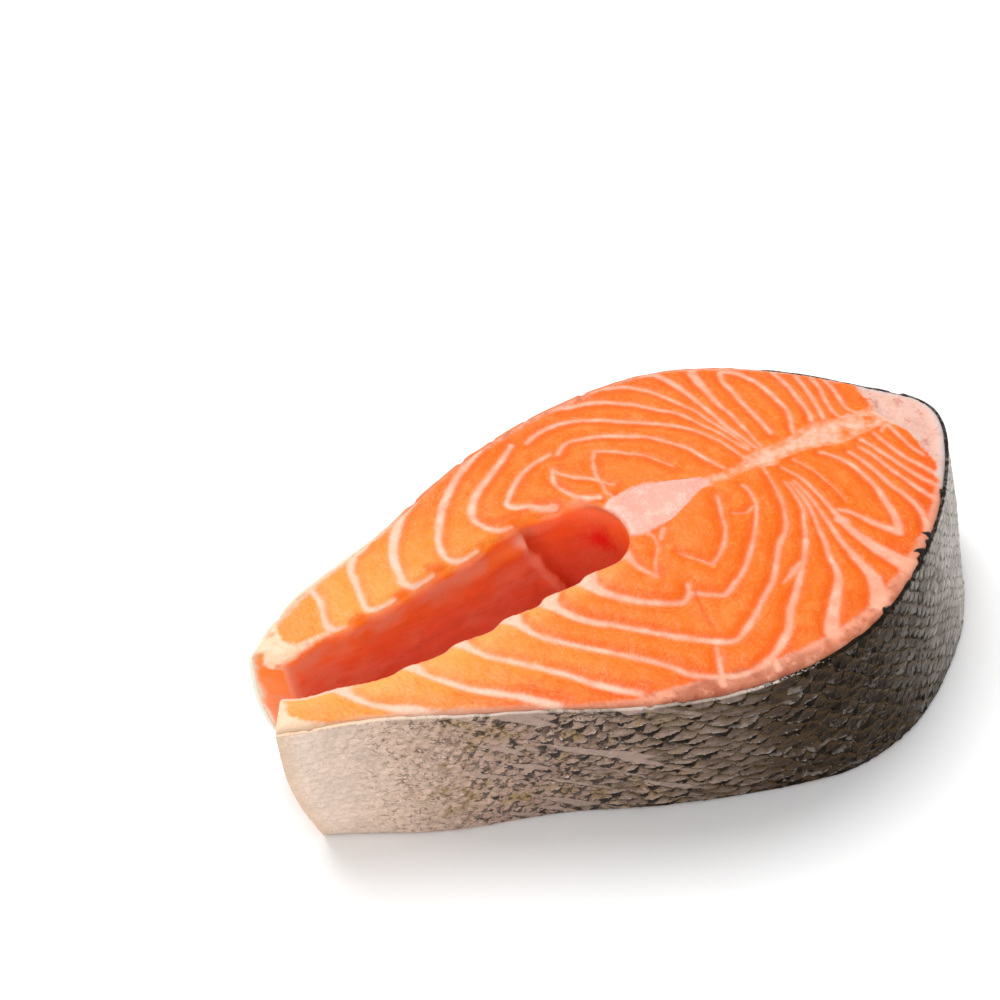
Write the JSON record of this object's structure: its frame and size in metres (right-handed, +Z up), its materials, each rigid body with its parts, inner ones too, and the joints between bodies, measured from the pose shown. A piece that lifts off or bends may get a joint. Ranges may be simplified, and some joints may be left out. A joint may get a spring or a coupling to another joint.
{
  "type": "raw salmon steak",
  "caption": "Thick raw cross-cut slice of salmon lying on its cut face: flesh round an open belly gap, scaly skin round the outside and a piece of backbone.",
  "frame": {"origin": "middle of the box round the slice, on the surface it lies on", "axes": "+Z up out of the upper cut face, +X towards the back of the fish, -X towards the tips of the belly flaps"},
  "size_m": [0.1692, 0.0976, 0.0387],
  "materials": {
    "flesh": "wet raw orange fish flesh with pale fat lines",
    "skin": "wet scaly skin, dark grey at the back and silvery pink at the belly",
    "bone": "wet pale pink cut bone"
  },
  "bodies": {
    "root": {"flesh": "flesh", "skin": "skin", "backbone": "bone"}
  },
  "joints": []
}
